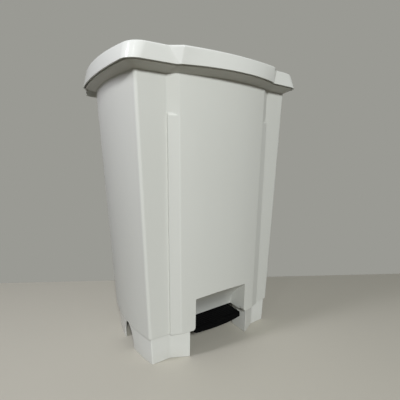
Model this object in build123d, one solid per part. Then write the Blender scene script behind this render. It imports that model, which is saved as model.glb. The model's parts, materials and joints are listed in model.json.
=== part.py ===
from build123d import *
from math import atan2, cos, degrees, radians, sin, sqrt, tan
import os

# Pedal trash can of about 60 litres, moulded in plastic.
# Millimetres, +Z up, front towards -Y, origin on the floor under the middle of the outer box.

# Heights above the floor
parting_z = 65.0          # lower edge of the body, which hangs over the base
deck_z = 70.0             # top of the base's deck, where the body's floor rests
opening_top_z = 142.0     # upper edge of the foot opening, at its ends
rim_z = 640.0             # where the body's wall turns outwards into the flared rim
flare_rise = 10.0         # from there up to where the flare turns into the neck
skirt_gap = 1.0           # between the flare and the lower edge of the lid's skirt
skirt_height = 36.0
crown_rise = 6.0          # raised middle of the lid above the skirt's upper edge

# Wall thicknesses
wall = 3.0
deck_thick = 3.0
floor_thick = 3.0
lid_wall = 3.0

# Body, at its lower edge (foot) and at its rim; front and rear are distances from the origin
foot_half = 179.0
rim_half = 209.5
foot_front = 116.5
rim_front = 136.0
foot_rear = 116.5
rim_rear = 142.0
side_bow = 14.0
foot_step_x = 132.5       # step between the flat strip at the corner and the facet
rim_step_x = 143.5
strip_slant = 4.0
facet_width = 23.0        # slanted facet that leads from the step out to the front panel
facet_depth = 14.5
foot_panel_bow = 10.5
rim_panel_bow = 16.0
front_round = 8.0
rear_round = 20.0
step_round = 5.0
panel_round = 12.0

# Pilaster: a wedge on the facet, proud at the step and running out on the panel
pilaster_drop = 76.0      # from the flared rim down to the pilaster's top
pilaster_proud = 5.5
pilaster_ramp = 9.0       # height over which its top slopes back to the facet
pilaster_run_out = 3.5    # how far it reaches past the facet onto the panel
pilaster_sink = 0.05      # depth of its end under the panel's face

# Foot opening and the recess behind it
opening_half = 75.0
opening_round = 7.0
recess_knee_y = -92.5     # where the recess's sloping ceiling meets its back wall
recess_knee_z = 100.0
recess_foot_y = -81.0     # back wall of the recess at the body's lower edge

# Base
base_inset = 4.5          # how far the base stands back from the body
base_opening_half = 86.0
base_step_x = 127.0
base_slant = 1.5
base_facet_width = 45.0   # longer than the body's, so that it ends in the foot opening
base_facet_depth = 23.5
base_step_round = 14.0
arch_half = 30.0          # arches in the base's sides
arch_height = 57.0

# Lid skirt, at its lower and upper edges
lid_low_half = 234.0
lid_high_half = 221.5
lid_low_front = 165.0
lid_high_front = 159.5
lid_rear = 187.0
lid_low_side_bow = 13.0
lid_high_side_bow = 23.5
lid_low_step_x = 134.0
lid_high_step_x = 149.5
lid_slant = 6.5
lid_low_facet = 5.0
lid_high_facet = 24.0
lid_low_facet_depth = 6.0
lid_high_facet_depth = 18.0
lid_low_bow = 23.5
lid_high_bow = 12.5
lid_low_corner_round = 34.0
lid_high_corner_round = 40.0
lid_step_round = 6.0
lid_panel_round = 10.0
lid_edge_round = 4.5
lid_round_steps = 3       # straight bands that make up the rounded upper edge
crown_margin = 26.0       # from the lid's edge to the foot of the raised middle
crown_run = 22.0          # sloping border of the raised middle
rim_gap = 3.0             # between the neck and the inside of the skirt
lid_rest_gap = 0.3        # between the neck's top edge and the closed lid
lip_drop = 17.0           # lip that hangs from the rim round its rear corners
lip_front_y = 160.0

# Rod channel between two ribs on the back
channel_half = 32.0
channel_front_y = 143.0   # front of the pocket that the channel makes in the flared rim
spine_y = 174.0           # rear edge of the ribs
spine_gap = 0.5           # between the ribs of the body and those of the base

# Lid hinge
hinge_back = 6.0          # axis behind the skirt
hinge_rise = 4.0          # axis above the skirt's lower edge
hinge_x = 95.0            # middle of each hinge
knuckle_radius = 8.0
knuckle_length = 30.0
ear_thick = 5.5
ear_gap = 0.5             # side play between ear and knuckle
ear_root = 13.0           # height of the ears where they leave the neck
pin_diameter = 6.0
pin_clearance = 0.1
pin_head_diameter = 10.0
pin_head_thick = 2.0
notch_clearance = 1.5
lid_open_angle = 70.0

# Push rod and the lug that it lifts
rod_diameter = 6.0
rod_lever = 32.0          # distance of the rod in front of the hinge axis
rod_bend = 9.0            # radius of the rod's bends, at its middle line
rod_clearance = 0.1
lug_x = 10.0
lug_thick = 4.0
lug_play = 1.5            # the lug's slot is wider than the rod by this on each side
lug_rim = 3.5
hook_spare = 4.0          # rod end beyond its clip
clip_gap = 0.3
clip_thick = 2.0
clip_diameter = 13.0
clip_clearance = 0.05
guide_low_z = 190.0
guide_high_z = 520.0
guide_height = 16.0
guide_web = 5.0
guide_tab = 6.0
guide_depth = 14.0
guide_eye_radius = 7.0
guide_screw_reach = 4.0   # screw in the guide's tab

# Pedal lever, a folded steel channel on a cross axle
axle_y = 10.0
axle_z = 36.0
axle_diameter = 8.0
lever_half = 20.0
lever_sheet = 2.5
lever_front_y = -129.5
lever_bend_y = -74.0
lever_drop = 9.0          # height of the channel at its front end
lever_end = 9.0           # metal beyond the rod at the lever's rear end
lever_cheek = 10.0        # metal above and below the axle
slot_play = 2.5           # length that the lever's slot adds on each side of the rod
bush_wall = 1.5
bush_flange = 1.5
bush_flange_rim = 2.0
bracket_gap = 0.5
bracket_thick = 6.0
bracket_half = 15.0
bracket_drop = 12.0       # bracket below the axle's middle line

# Pedal tread, a black ribbed tray over the lever's front end
tread_top_z = 62.0
tread_half = 70.0
tread_back_y = -71.0
tread_corner_y = -131.5
tread_bow = 7.0
tread_plate = 3.0
tread_lip = 11.0          # height of the tray's edge
tread_wall = 2.5
tread_round = 5.0
rib_count = 7
rib_height = 1.0
rib_width = 3.0
rib_margin = 8.0

# Screws
screw_diameter = 4.0
screw_head_diameter = 8.0
screw_head = 2.5
screw_clearance = 0.05
boss_diameter = 12.0
boss_height = 8.0
base_screw_x = 140.0
base_screw_front_y = -71.0
base_screw_rear_y = 78.0
tread_screw_spacing = 30.0

over = 2.0                # how far cutting shapes run past what they cut

# Values that follow from the sizes above
floor_top_z = deck_z + floor_thick
deck_under_z = deck_z - deck_thick
flare_top_z = rim_z + flare_rise
skirt_bottom_z = flare_top_z + skirt_gap
lid_edge_z = skirt_bottom_z + skirt_height
lid_under_z = lid_edge_z - lid_wall
rim_top_z = lid_under_z - lid_rest_gap
pilaster_top_z = rim_z - pilaster_drop
hinge_y = lid_rear + hinge_back
hinge_z = skirt_bottom_z + hinge_rise
rod_y = hinge_y - rod_lever
half_open = radians(lid_open_angle / 2)
rod_travel = 2 * rod_lever * tan(half_open)
rod_high_z = hinge_z - rod_travel / 2
rod_low_z = axle_z - rod_travel / 2
lever_swing = degrees(atan2(rod_travel / 2, rod_y - axle_y))
bush_bore = axle_diameter + 2 * pin_clearance
bush_diameter = bush_bore + 2 * bush_wall
front_limit = -(lid_low_front + 60.0)
rear_limit = hinge_y + knuckle_radius + over


def outline(z, half, front, rear, bow, step_x, slant, facet, depth, panel_bow, rounds):
    """Plan of one level: bowed panel, facets, steps, corner strips, bowed sides and a flat back."""
    corner = (half, -front)
    step = (step_x, -front - slant)
    panel = (step[0] - facet, step[1] - depth)
    apex = (0, panel[1] - panel_bow)
    back = (half, rear)
    side = (half + bow, (rear - front) / 2)

    def left(point):
        return (-point[0], point[1])

    edges = [
        ThreePointArc(left(panel), apex, panel),
        Line(panel, step),
        Line(step, corner),
        ThreePointArc(corner, side, back),
        Line(back, left(back)),
        ThreePointArc(left(back), left(side), left(corner)),
        Line(left(corner), left(step)),
        Line(left(step), left(panel)),
    ]
    face = make_face(edges).face()
    for point, radius in zip((corner, back, step, panel), rounds):
        ends = [Vector(*point), Vector(*left(point))]
        picked = [min(face.vertices(), key=lambda v: (Vector(v.X, v.Y) - end).length) for end in ends]
        face = face.fillet_2d(radius, picked)
    return Pos(0, 0, z) * face


def taper(foot, rim, z):
    """Size at a height, from its values at the body's lower edge and at its rim."""
    return foot + (rim - foot) * (z - parting_z) / (rim_z - parting_z)


def tapered_outline(z, inset, step_x, slant, facet, depth, panel_bow, inner_round):
    """Plan at a height that leans with the body's walls, moved inwards by an inset."""
    return outline(
        z,
        taper(foot_half, rim_half, z) - inset,
        taper(foot_front, rim_front, z) - inset,
        taper(foot_rear, rim_rear, z) - inset,
        side_bow,
        step_x,
        slant,
        facet,
        depth,
        panel_bow,
        (front_round - inset, rear_round - inset, inner_round + inset, panel_round - inset),
    )


def body_outline(z, inset=0.0):
    """Plan of the tapered body at a height, moved inwards by an inset."""
    turn = tan(atan2(facet_depth, facet_width) / 2)
    step_x = taper(foot_step_x, rim_step_x, z) - inset * turn
    panel_bow = taper(foot_panel_bow, rim_panel_bow, z)
    return tapered_outline(z, inset, step_x, strip_slant, facet_width, facet_depth, panel_bow, step_round)


def base_outline(z, inset=0.0):
    """Plan of the base, which stands back from the body and has a longer facet beside the foot opening."""
    turn = tan(atan2(base_facet_depth, base_facet_width) / 2)
    return tapered_outline(
        z,
        base_inset + inset,
        base_step_x - inset * turn,
        base_slant,
        base_facet_width,
        base_facet_depth,
        foot_panel_bow,
        base_step_round,
    )


def skirt_outline(z, share, inset, rear, step_x, facet, depth, panel_bow):
    """Plan of the skirt, or of the neck inside it, at a share of the height and moved inwards by an inset."""

    def at(low, high):
        return low + (high - low) * share

    turn = tan(atan2(depth, facet) / 2)
    corner_round = max(at(lid_low_corner_round, lid_high_corner_round) - inset, lid_step_round)
    return outline(
        z,
        at(lid_low_half, lid_high_half) - inset,
        at(lid_low_front, lid_high_front) - inset,
        rear - inset,
        at(lid_low_side_bow, lid_high_side_bow),
        step_x - inset * turn,
        lid_slant,
        facet,
        depth,
        panel_bow,
        (corner_round, corner_round, lid_step_round, lid_panel_round),
    )


def lid_outline(z, inset=0.0):
    """Plan of the lid's leaning skirt at a height."""
    share = (z - skirt_bottom_z) / skirt_height

    def at(low, high):
        return low + (high - low) * share

    return skirt_outline(
        z,
        share,
        inset,
        lid_rear,
        at(lid_low_step_x, lid_high_step_x),
        at(lid_low_facet, lid_high_facet),
        at(lid_low_facet_depth, lid_high_facet_depth),
        at(lid_low_bow, lid_high_bow),
    )


def neck_outline(z, depth=0.0):
    """Plan of the body's neck, which keeps the facets of the skirt's lower edge and leans in with the skirt."""
    share = (z - flare_top_z) / (rim_top_z - flare_top_z)
    rear = lid_rear - (lid_low_front - lid_high_front) * share
    inset = lid_wall + rim_gap + depth
    return skirt_outline(
        z, share, inset, rear, lid_low_step_x, lid_low_facet, lid_low_facet_depth, lid_low_bow
    )


def ruled(*faces):
    """Straight-sided skin from outline to outline."""
    return loft(list(faces), ruled=True)


def block(x_low, x_high, y_low, y_high, z_low, z_high):
    """Rectangular block between six limits."""
    size = (x_high - x_low, y_high - y_low, z_high - z_low)
    middle = ((x_high + x_low) / 2, (y_high + y_low) / 2, (z_high + z_low) / 2)
    return Pos(*middle) * Box(*size)


def side_plate(sketch, x_low, x_high):
    """Plate that stands across X; the sketch is drawn with Y to the right and Z up."""
    plane = Plane(origin=(x_low, 0, 0), x_dir=(0, 1, 0), z_dir=(1, 0, 0))
    return extrude(plane * sketch, x_high - x_low, dir=(1, 0, 0))


def cross_bar(radius, x_low, x_high, y, z):
    """Round bar along X."""
    return side_plate(Pos(y, z) * Circle(radius), x_low, x_high)


def ring(outer, bore, x_low, x_high, y, z):
    """Round washer along X."""
    return cross_bar(outer, x_low, x_high, y, z) - cross_bar(bore, x_low - over, x_high + over, y, z)


def upright(radius, x, y, z_low, z_high):
    """Round bar along Z."""
    return Pos(x, y, (z_low + z_high) / 2) * Cylinder(radius, z_high - z_low)


def screw_up(x, y, z_seat, z_tip):
    """Pan-head screw whose head bears upwards on a seat."""
    head = upright(screw_head_diameter / 2, x, y, z_seat - screw_head, z_seat)
    head = fillet(head.faces().sort_by(Axis.Z)[0].edges(), screw_head * 0.6)
    return head + upright(screw_diameter / 2, x, y, z_seat, z_tip)


def mirrored(shape):
    """The shape and its mirror image across the middle plane."""
    return [shape, mirror(shape, Plane.YZ)]


def base_screw_places():
    return [(x, y) for x in (-base_screw_x, base_screw_x) for y in (base_screw_front_y, base_screw_rear_y)]


def step_corner(z):
    """Where the strip meets the facet on the right, before rounding."""
    return taper(foot_step_x, rim_step_x, z), -taper(foot_front, rim_front, z) - strip_slant


def panel_y(x, z):
    """Where the bowed front panel lies at a distance from the middle."""
    step_x, step_y = step_corner(z)
    half = step_x - facet_width
    bow = taper(foot_panel_bow, rim_panel_bow, z)
    radius = (half ** 2 + bow ** 2) / (2 * bow)
    return step_y - facet_depth - bow + radius - sqrt(radius ** 2 - x ** 2)


def recess(grow=0.0):
    """Space above the pedal; grown by the wall it is the outside of the recess's walls."""
    slope = (opening_top_z - recess_knee_z) / (recess_knee_y - panel_y(opening_half, opening_top_z))
    front_z = recess_knee_z + slope * (recess_knee_y - front_limit)
    profile = Polygon(
        (front_limit, parting_z - over),
        (front_limit, front_z + grow),
        (recess_knee_y + grow, recess_knee_z + grow),
        (recess_foot_y + grow, parting_z - over),
        align=None,
    )
    return side_plate(profile, -opening_half - grow, opening_half + grow)


def channel(grow=0.0):
    """Pocket in the flared rim for the push rod; grown by the wall it is the pocket's outside."""
    half = channel_half + grow
    return block(-half, half, channel_front_y - grow, rear_limit, parting_z - over, rim_top_z + over)


def spine_rib(z_low, z_high, root_y):
    """Right-hand rib beside the push rod."""
    return block(channel_half, channel_half + wall, root_y, spine_y, z_low, z_high)


def pilaster():
    """Wedge on the right-hand facet, with a top that slopes back to the facet."""

    def section(z, proud):
        x, y = step_corner(z)
        end_x = x - facet_width - pilaster_run_out
        end_y = panel_y(end_x, z) + pilaster_sink
        corners = [(x, y - proud), (end_x, end_y), (end_x, end_y + wall), (x, y + wall)]
        return Pos(0, 0, z) * make_face(Polyline(*corners, close=True))

    full_z = pilaster_top_z - pilaster_ramp
    return ruled(section(parting_z, pilaster_proud), section(full_z, pilaster_proud), section(pilaster_top_z, 0))


def rear_lip():
    """Lip under the flared rim, round its rear corners."""
    band = neck_outline(flare_top_z) - neck_outline(flare_top_z, wall)
    side = lid_low_half + lid_low_side_bow
    keep = block(-side, side, lip_front_y, rear_limit, flare_top_z - lip_drop, flare_top_z)
    return extrude(band, lip_drop, dir=(0, 0, -1)) & keep


def ear_sketch():
    """Side view of a hinge ear: a round eye on a root that grows from the neck."""
    eye = Pos(hinge_y, hinge_z) * Circle(knuckle_radius)
    neck_y = lid_rear - lid_wall - rim_gap
    root = Pos(neck_y - wall / 2, flare_top_z + ear_root / 2) * Rectangle(wall, ear_root)
    return make_hull((eye + root).edges()) - Pos(hinge_y, hinge_z) * Circle(pin_diameter / 2 + screw_clearance)


def ear_spans():
    """X limits of the two ears of the right-hand hinge."""
    inner = hinge_x - knuckle_length / 2 - ear_gap
    outer = hinge_x + knuckle_length / 2 + ear_gap
    return [(inner - ear_thick, inner), (outer, outer + ear_thick)]


def body_shell():
    outer = ruled(body_outline(parting_z), body_outline(rim_z))
    outer += ruled(body_outline(rim_z), neck_outline(flare_top_z), neck_outline(rim_top_z))
    for wedge in mirrored(pilaster()):
        outer += wedge
    outer += rear_lip()
    inside = ruled(body_outline(floor_top_z, wall), body_outline(rim_z, wall))
    inside += ruled(
        body_outline(rim_z, wall), neck_outline(flare_top_z + wall, wall), neck_outline(rim_top_z + over, wall)
    )
    underside = ruled(body_outline(parting_z - over, wall), body_outline(deck_z, wall))
    lining = recess(wall) + channel(wall)
    shell = outer - (inside - lining) - (underside - lining)
    for x, y in base_screw_places():
        shell += upright(boss_diameter / 2, x, y, deck_z, floor_top_z + boss_height)
        shell -= upright(screw_diameter / 2 + screw_clearance, x, y, deck_z - over, floor_top_z + boss_height - wall)
    shell -= recess()
    shell -= channel()
    shell -= opening_corners()
    for rib in mirrored(spine_rib(parting_z, flare_top_z, foot_rear - wall) - inside):
        shell += rib
    for x_low, x_high in ear_spans():
        for ear in mirrored(side_plate(ear_sketch(), x_low, x_high)):
            shell += ear
    for z in (guide_low_z, guide_high_z):
        span = channel_half + 2 * wall
        shell -= cross_bar(screw_diameter / 2 + screw_clearance, -span, span, rod_y, z)
    return shell


def opening_corners():
    """Cutter that rounds the body's lower corners beside the foot opening."""
    tall = Pos(0, parting_z) * Rectangle(2 * opening_half, 4 * opening_round)
    wide = Pos(0, parting_z - opening_round) * Rectangle(2 * opening_half + 6 * opening_round, 2 * opening_round)
    sketch = (tall + wide).face()
    inner = [v for v in sketch.vertices() if abs(abs(v.X) - opening_half) < 0.01 and abs(v.Y - parting_z) < 0.01]
    sketch = sketch.fillet_2d(opening_round, inner)
    lift = Plane(origin=(0, -foot_front - strip_slant, 0), x_dir=(1, 0, 0), z_dir=(0, -1, 0))
    return extrude(lift * sketch, -front_limit - foot_front, dir=(0, -1, 0))


def arch(half, height):
    """Half-ellipse standing on the floor."""
    whole = Ellipse(half, height)
    return whole - Pos(0, -height) * Rectangle(4 * half, 2 * height) + Pos(0, -over / 2) * Rectangle(2 * half, over)


def base_plinth():
    outer = ruled(base_outline(0), base_outline(deck_z))
    hollow = ruled(base_outline(-over, wall), base_outline(deck_under_z, wall))
    jamb_back = recess_foot_y + wall
    jambs = block(
        -base_opening_half - wall, base_opening_half + wall, front_limit, jamb_back, -over, deck_z
    )
    opening = block(-base_opening_half, base_opening_half, front_limit, jamb_back + over, -over, deck_z + over)
    base = outer - (hollow - jambs) - opening
    side_arch = side_plate(arch(arch_half, arch_height), -rim_half, rim_half)
    wide = foot_half - base_inset - 4 * wall
    base -= side_arch - block(-wide, wide, front_limit, rear_limit, -over, deck_z)
    rear_wall_y = foot_rear - base_inset - 2 * wall
    base -= block(-channel_half, channel_half, rear_wall_y, rear_limit, -over, deck_under_z)
    for rib in mirrored(spine_rib(0, parting_z - spine_gap, rear_wall_y + wall)):
        base += rib
    for part in mirrored(bearing_bracket()):
        base += part
    for x, y in base_screw_places():
        base -= upright(screw_diameter / 2 + screw_clearance, x, y, deck_under_z - over, deck_z + over)
    return base


def bracket_x():
    """Inner face of the right-hand bearing bracket."""
    return lever_half + bush_flange + bracket_gap


def bearing_bracket():
    """Rib under the deck that carries one end of the pedal's axle."""
    eye = Pos(axle_y, axle_z) * Circle(bracket_drop)
    root = Pos(axle_y, deck_under_z) * Rectangle(2 * bracket_half, deck_thick)
    sketch = make_hull((eye + root).edges())
    sketch -= Pos(axle_y, axle_z) * Circle(axle_diameter / 2 + screw_clearance)
    return side_plate(sketch, bracket_x(), bracket_x() + bracket_thick)


def lid_shell():
    turns = [radians(90 * index / lid_round_steps) for index in range(lid_round_steps + 1)]
    round_z = lid_edge_z - lid_edge_round
    rounding = [
        lid_outline(round_z + lid_edge_round * sin(turn), lid_edge_round * (1 - cos(turn))) for turn in turns
    ]
    outer = ruled(lid_outline(skirt_bottom_z), *rounding)
    crown_inset = crown_margin + crown_run
    crown = ruled(lid_outline(lid_edge_z, crown_margin), crown_top(crown_inset))
    outer += crown
    inside = ruled(lid_outline(skirt_bottom_z - over, lid_wall), lid_outline(lid_under_z, lid_wall))
    inside += Pos(0, 0, -lid_wall) * crown
    lid = outer - inside
    for x_low, x_high in ear_spans():
        notch = block(
            x_low - notch_clearance, x_high + notch_clearance,
            lid_rear - lid_wall - over, rear_limit,
            skirt_bottom_z - over, hinge_z + knuckle_radius + notch_clearance,
        )
        for cut in mirrored(notch):
            lid -= cut
    x_low = hinge_x - knuckle_length / 2
    for part in mirrored(side_plate(knuckle_sketch(), x_low, x_low + knuckle_length)):
        lid += part
    return lid + side_plate(lug_sketch(), lug_x, lug_x + lug_thick)


def crown_top(inset):
    return Pos(0, 0, crown_rise) * lid_outline(lid_edge_z, inset)


def knuckle_sketch():
    """Side view of a lid knuckle: a round eye joined to the back of the skirt."""
    eye = Pos(hinge_y, hinge_z) * Circle(knuckle_radius)
    height = lid_under_z - skirt_bottom_z - lid_edge_round
    root = Pos(lid_rear - lid_wall / 2, skirt_bottom_z + height / 2) * Rectangle(lid_wall, height)
    return make_hull((eye + root).edges()) - Pos(hinge_y, hinge_z) * Circle(pin_diameter / 2 + pin_clearance)


def lug_sketch():
    """Side view of the lid's lug, with the slot in which the rod's hook slides along the radius."""
    slot_radius = rod_diameter / 2 + lug_play
    far = rod_lever / cos(half_open)
    length = far - rod_lever
    middle = (rod_lever + far) / 2
    angle = degrees(half_open)
    place = Pos(hinge_y, hinge_z) * Rot(0, 0, angle) * Pos(-middle, 0)
    slot = place * SlotCenterToCenter(length, 2 * slot_radius)
    rim = place * SlotCenterToCenter(length, 2 * (slot_radius + lug_rim))
    root_width = 2 * (slot_radius + lug_rim) + length
    root = Pos(rod_y, lid_under_z + lid_wall / 2) * Rectangle(root_width, lid_wall)
    return make_hull((rim + root).edges()) - slot


def push_rod():
    """Steel wire with a hook at each end, both turned towards +X."""
    low_end = lever_half + clip_gap + clip_thick + hook_spare
    high_end = lug_x + lug_thick + clip_gap + clip_thick + hook_spare
    path = FilletPolyline(
        (low_end, rod_y, rod_low_z),
        (0, rod_y, rod_low_z),
        (0, rod_y, rod_high_z),
        (high_end, rod_y, rod_high_z),
        radius=rod_bend,
    )
    section = Plane(origin=(low_end, rod_y, rod_low_z), z_dir=(-1, 0, 0)) * Circle(rod_diameter / 2)
    return sweep(section, path)


def rod_clip(x_face, z):
    """Push-on ring that keeps a hook in its plate."""
    start = x_face + clip_gap
    return ring(clip_diameter / 2, rod_diameter / 2 + clip_clearance, start, start + clip_thick, rod_y, z)


def rod_guide(z):
    """Bridge between the ribs, with an eye round the rod and a tab on each rib."""
    half = guide_height / 2
    low_y = rod_y - guide_depth / 2
    high_y = rod_y + guide_depth / 2
    inner = channel_half - guide_tab
    guide = upright(guide_eye_radius, 0, rod_y, z - half, z + half)
    guide += block(-inner, inner, low_y, high_y, z - guide_web / 2, z + guide_web / 2)
    for tab in mirrored(block(inner, channel_half, low_y, high_y, z - half, z + half)):
        guide += tab
    guide -= upright(rod_diameter / 2 + rod_clearance, 0, rod_y, z - guide_height, z + guide_height)
    hole = channel_half - guide_screw_reach
    for cut in mirrored(cross_bar(screw_diameter / 2 + screw_clearance, hole, channel_half + over, rod_y, z)):
        guide -= cut
    return guide


def guide_screw(z):
    """Pan-head screw through the right-hand rib into a guide's tab."""
    reach = wall + guide_screw_reach - screw_clearance
    return Pos(channel_half + wall, rod_y, z) * Rot(0, -90, 0) * screw_up(0, 0, 0, reach)


def lever_profile():
    """Side view of the lever: level under the tread, then falling to the rod."""
    top_z = tread_top_z - tread_plate
    fall = (top_z - axle_z - lever_cheek) / (axle_y - lever_bend_y)
    end_y = rod_y + lever_end
    end_top = top_z - fall * (end_y - lever_bend_y)
    return Polygon(
        (lever_front_y, top_z),
        (lever_bend_y, top_z),
        (end_y, end_top),
        (end_y, rod_low_z - lever_end),
        (axle_y, axle_z - lever_cheek),
        (lever_bend_y, top_z - 1.6 * lever_drop),
        (lever_front_y, top_z - lever_drop),
        align=None,
    )


def tread_screw_places():
    middle = (tread_back_y + tread_corner_y) / 2
    return [middle - tread_screw_spacing / 2, middle + tread_screw_spacing / 2]


def pedal_lever():
    profile = lever_profile()
    lever = side_plate(profile, -lever_half, lever_half)
    inner = lever_half - lever_sheet
    lever -= Pos(0, 0, -lever_sheet) * side_plate(profile, -inner, inner)
    lever -= cross_bar(bush_diameter / 2, -lever_half - over, lever_half + over, axle_y, axle_z)
    place = Pos(rod_y, rod_low_z) * Rot(0, 0, -lever_swing)
    slot = place * SlotCenterToCenter(2 * slot_play, rod_diameter + 2 * clip_gap)
    lever -= side_plate(slot, 0, lever_half + over)
    notch = rod_diameter / 2 + lever_end / 2
    lever -= block(-notch, notch, rod_y - 2 * notch, rod_y + 2 * lever_end, axle_z - rod_travel, axle_z + rod_travel)
    for y in tread_screw_places():
        lever -= upright(screw_diameter / 2 + screw_clearance, 0, y, axle_z, tread_top_z)
    return lever


def pedal_tread():
    edges = [
        ThreePointArc((-tread_half, tread_corner_y), (0, tread_corner_y - tread_bow), (tread_half, tread_corner_y)),
        Line((tread_half, tread_corner_y), (tread_half, tread_back_y)),
        Line((tread_half, tread_back_y), (-tread_half, tread_back_y)),
        Line((-tread_half, tread_back_y), (-tread_half, tread_corner_y)),
    ]
    face = make_face(edges).face()
    face = face.fillet_2d(tread_round, face.vertices())
    tray = extrude(Pos(0, 0, tread_top_z - tread_lip) * face, tread_lip)
    under = offset(face, -tread_wall)
    tray -= extrude(Pos(0, 0, tread_top_z - tread_lip - over) * under, tread_lip + over - tread_plate)
    tray -= block(
        -lever_half - clip_gap, lever_half + clip_gap,
        tread_back_y - 2 * tread_wall, tread_back_y + over,
        tread_top_z - tread_lip - over, tread_top_z - tread_plate,
    )
    first = tread_corner_y + rib_margin
    pitch = (tread_back_y - rib_margin - first) / (rib_count - 1)
    for index in range(rib_count):
        y = first + index * pitch
        rib = block(
            -tread_half + rib_margin, tread_half - rib_margin,
            y - rib_width / 2, y + rib_width / 2,
            tread_top_z - rib_height, tread_top_z + rib_height,
        )
        tray += rib
    for y in tread_screw_places():
        tray -= upright(screw_diameter / 2 + screw_clearance, 0, y, axle_z, tread_top_z - rib_height / 2)
    return tray


def pivot_bush():
    """Flanged plastic bush in the lever's right-hand cheek."""
    inner = lever_half - lever_sheet
    sleeve = cross_bar(bush_diameter / 2 - screw_clearance, inner, lever_half, axle_y, axle_z)
    flange = cross_bar(
        bush_diameter / 2 + bush_flange_rim, lever_half, lever_half + bush_flange, axle_y, axle_z
    )
    bore = cross_bar(bush_bore / 2, inner - over, lever_half + bush_flange + over, axle_y, axle_z)
    return sleeve + flange - bore


def pedal_axle():
    end = bracket_x() + bracket_thick + clip_gap + clip_thick + over
    axle = cross_bar(axle_diameter / 2, -end, end, axle_y, axle_z)
    return chamfer(axle.edges().filter_by(GeomType.CIRCLE), axle_diameter / 16)


def axle_clip():
    start = bracket_x() + bracket_thick + clip_gap
    bore = axle_diameter / 2 + clip_clearance
    return ring(clip_diameter / 2 + axle_diameter / 8, bore, start, start + clip_thick, axle_y, axle_z)


def hinge_pin():
    """Headed pin of the right-hand hinge."""
    (inner_low, _), (_, outer_high) = ear_spans()
    start = inner_low - clip_gap - clip_thick - over
    head_start = outer_high + clip_gap
    pin = cross_bar(pin_diameter / 2, start, head_start, hinge_y, hinge_z)
    return pin + cross_bar(pin_head_diameter / 2, head_start, head_start + pin_head_thick, hinge_y, hinge_z)


def hinge_clip():
    (inner_low, _), _ = ear_spans()
    end = inner_low - clip_gap
    bore = pin_diameter / 2 + clip_clearance
    return ring(pin_head_diameter / 2, bore, end - clip_thick, end, hinge_y, hinge_z)


def group(shapes):
    """Several separate solids in one node."""
    return Compound(children=[solid for shape in shapes for solid in shape.solids()])


right_pin, left_pin = mirrored(hinge_pin())
right_bush, left_bush = mirrored(pivot_bush())
guide_screws = [screw for z in (guide_low_z, guide_high_z) for screw in mirrored(guide_screw(z))]
tread_screw_seat = tread_top_z - tread_plate - lever_sheet
base_screw_tip = floor_top_z + boss_height - wall - over / 2

nodes = {
    "body_shell": body_shell(),
    "base_plinth": base_plinth(),
    "base_screws": group([screw_up(x, y, deck_under_z, base_screw_tip) for x, y in base_screw_places()]),
    "lid_shell": lid_shell(),
    "hinge_pin_left": left_pin,
    "hinge_pin_right": right_pin,
    "hinge_clips": group(mirrored(hinge_clip())),
    "pedal_tread": pedal_tread(),
    "pedal_lever": pedal_lever(),
    "tread_screws": group(
        [screw_up(0, y, tread_screw_seat, tread_top_z - rib_height) for y in tread_screw_places()]
    ),
    "pivot_bush_left": left_bush,
    "pivot_bush_right": right_bush,
    "pedal_axle": pedal_axle(),
    "axle_clips": group(mirrored(axle_clip())),
    "push_rod": push_rod(),
    "rod_lower_clip": rod_clip(lever_half, rod_low_z),
    "rod_upper_clip": rod_clip(lug_x + lug_thick, rod_high_z),
    "rod_guide_lower": rod_guide(guide_low_z),
    "rod_guide_upper": rod_guide(guide_high_z),
    "rod_guide_screws": group(guide_screws),
}

os.makedirs("parts", exist_ok=True)
for name, shape in nodes.items():
    export_step(shape, f"parts/{name}.step")

pedal_angle = 2 * lever_swing
print(f"lid 0 to {lid_open_angle:.2f} deg, rod 0 to {rod_travel:.3f} mm, pedal 0 to {pedal_angle:.3f} deg")
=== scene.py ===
import json
import math

import bmesh
import bpy
from bpy.props import FloatProperty, FloatVectorProperty, IntProperty, PointerProperty
from mathutils import Matrix, Vector
from mathutils.bvhtree import BVHTree

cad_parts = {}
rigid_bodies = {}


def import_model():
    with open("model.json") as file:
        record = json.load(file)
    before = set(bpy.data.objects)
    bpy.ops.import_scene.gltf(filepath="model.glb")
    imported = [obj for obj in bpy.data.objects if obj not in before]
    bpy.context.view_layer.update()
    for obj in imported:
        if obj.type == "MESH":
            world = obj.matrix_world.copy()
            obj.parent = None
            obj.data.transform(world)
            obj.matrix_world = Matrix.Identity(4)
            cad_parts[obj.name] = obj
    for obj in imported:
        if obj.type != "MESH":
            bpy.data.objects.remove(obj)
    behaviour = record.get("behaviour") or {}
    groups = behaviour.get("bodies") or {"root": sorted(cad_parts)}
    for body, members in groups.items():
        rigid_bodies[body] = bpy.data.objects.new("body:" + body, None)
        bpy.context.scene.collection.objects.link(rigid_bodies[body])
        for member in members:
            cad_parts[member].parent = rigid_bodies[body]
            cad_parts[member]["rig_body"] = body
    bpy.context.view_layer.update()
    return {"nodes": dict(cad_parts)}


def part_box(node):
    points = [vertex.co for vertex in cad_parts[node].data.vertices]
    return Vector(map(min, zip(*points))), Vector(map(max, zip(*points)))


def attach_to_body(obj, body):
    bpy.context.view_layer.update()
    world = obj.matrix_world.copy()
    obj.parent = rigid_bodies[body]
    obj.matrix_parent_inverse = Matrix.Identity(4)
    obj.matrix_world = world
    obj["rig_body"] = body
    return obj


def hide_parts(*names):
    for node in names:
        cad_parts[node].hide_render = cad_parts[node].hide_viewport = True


bl_info = {
    "name": "Pedal trash can",
    "version": (1, 0, 0),
    "blender": (4, 5, 0),
    "location": "View3D > Sidebar > Trash can",
    "description": "Finishes the moulded shells, tread and linkage of the can and sets it on a plain stage",
    "category": "Object",
}

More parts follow.
